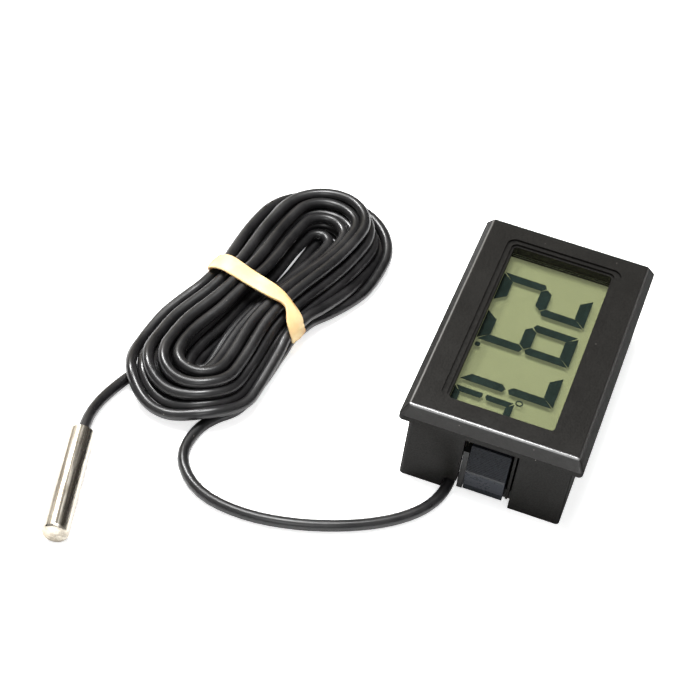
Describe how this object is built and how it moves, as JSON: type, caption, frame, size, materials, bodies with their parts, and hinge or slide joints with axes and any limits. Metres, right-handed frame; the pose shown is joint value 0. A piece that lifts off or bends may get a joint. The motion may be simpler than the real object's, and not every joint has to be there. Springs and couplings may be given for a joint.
{
  "type": "panel thermometer",
  "caption": "Small black panel-mount digital thermometer with a liquid crystal display, snap tongues, and a steel probe on a thin black lead wound into a hank under a rubber band.",
  "frame": {"origin": "middle of the module's rear rim, at bench height, lead and probe left out", "axes": "+X along the reading direction of the digits, +Y towards the tops of the digits, +Z out of the display face"},
  "size_m": [0.0889, 0.0752, 0.0152],
  "materials": {
    "black_abs": "fine spark-eroded texture, dark grey black",
    "cover_abs": "plain moulded, dark grey black",
    "polariser": "thin film, semi-gloss",
    "display_glass": "clear float glass",
    "display_segments": "dark teal lit segments",
    "seal_epoxy": "thin epoxy line",
    "reflector": "olive grey reflective film",
    "elastomer": "striped silicone strip",
    "frame_abs": "plain moulded",
    "board": "green solder mask",
    "epoxy_blob": "glossy black epoxy",
    "resistor_body": "black glaze with tinned ends",
    "capacitor_body": "tan ceramic with tinned ends",
    "zinc_steel": "zinc plated",
    "contact_metal": "nickel plated spring strip",
    "solder": "bright solder",
    "cell_steel": "nickel plated steel",
    "cell_seal": "grey nylon",
    "wire_red": "red insulation",
    "wire_black": "black insulation",
    "hot_melt": "cloudy hot-melt glue",
    "cord_pvc": "black semi-gloss PVC",
    "band_rubber": "cream natural rubber",
    "probe_steel": "bright drawn steel",
    "potting": "black epoxy",
    "thermistor_epoxy": "epoxy coated bead",
    "tinned_wire": "tinned wire"
  },
  "bodies": {
    "module": {"housing": "black_abs", "rear_cover": "cover_abs", "display_front_polariser": "polariser", "display_front_glass": "display_glass", "display_rear_glass": "display_glass", "display_segments": "display_segments", "display_seal": "seal_epoxy", "display_reflector": "reflector", "elastomer_connector": "elastomer", "display_frame": "frame_abs", "circuit_board": "board", "controller_blob": "epoxy_blob", "chip_resistors": "resistor_body", "chip_capacitors": "capacitor_body", "board_screws": "zinc_steel", "positive_contacts": "contact_metal", "negative_contacts": "contact_metal", "solder_joints": "solder", "cell_cans": "cell_steel", "cell_caps": "cell_steel", "cell_seals": "cell_seal", "sensor_wire_a": "wire_red", "sensor_wire_b": "wire_black", "cord_anchor": "hot_melt", "lead_cord": "cord_pvc", "hank_cord": "cord_pvc", "tail_cord": "cord_pvc", "rubber_band": "band_rubber", "probe_sleeve": "probe_steel", "probe_potting": "potting", "thermistor_bead": "thermistor_epoxy", "thermistor_leads": "tinned_wire"},
    "tongue_right": {"snap_tongue_right": "black_abs"},
    "tongue_left": {"snap_tongue_left": "black_abs"},
    "door": {"battery_door": "cover_abs"}
  },
  "joints": [
    {"name": "tongue_right_snap", "type": "hinge", "parent": "module", "child": "tongue_right", "pos_m": [0.0212, 0.0004, 0.0015], "axis": [0, -1, 0], "range_deg": [0, 9.5], "stiffness_Nm_per_rad": 0.06},
    {"name": "tongue_left_snap", "type": "hinge", "parent": "module", "child": "tongue_left", "pos_m": [-0.0212, -0.0004, 0.0015], "axis": [0, 1, 0], "range_deg": [0, 9.5], "stiffness_Nm_per_rad": 0.06},
    {"name": "door_slide", "type": "slide", "parent": "module", "child": "door", "axis": [1, 0, 0], "range_m": [0, 0.004]}
  ]
}
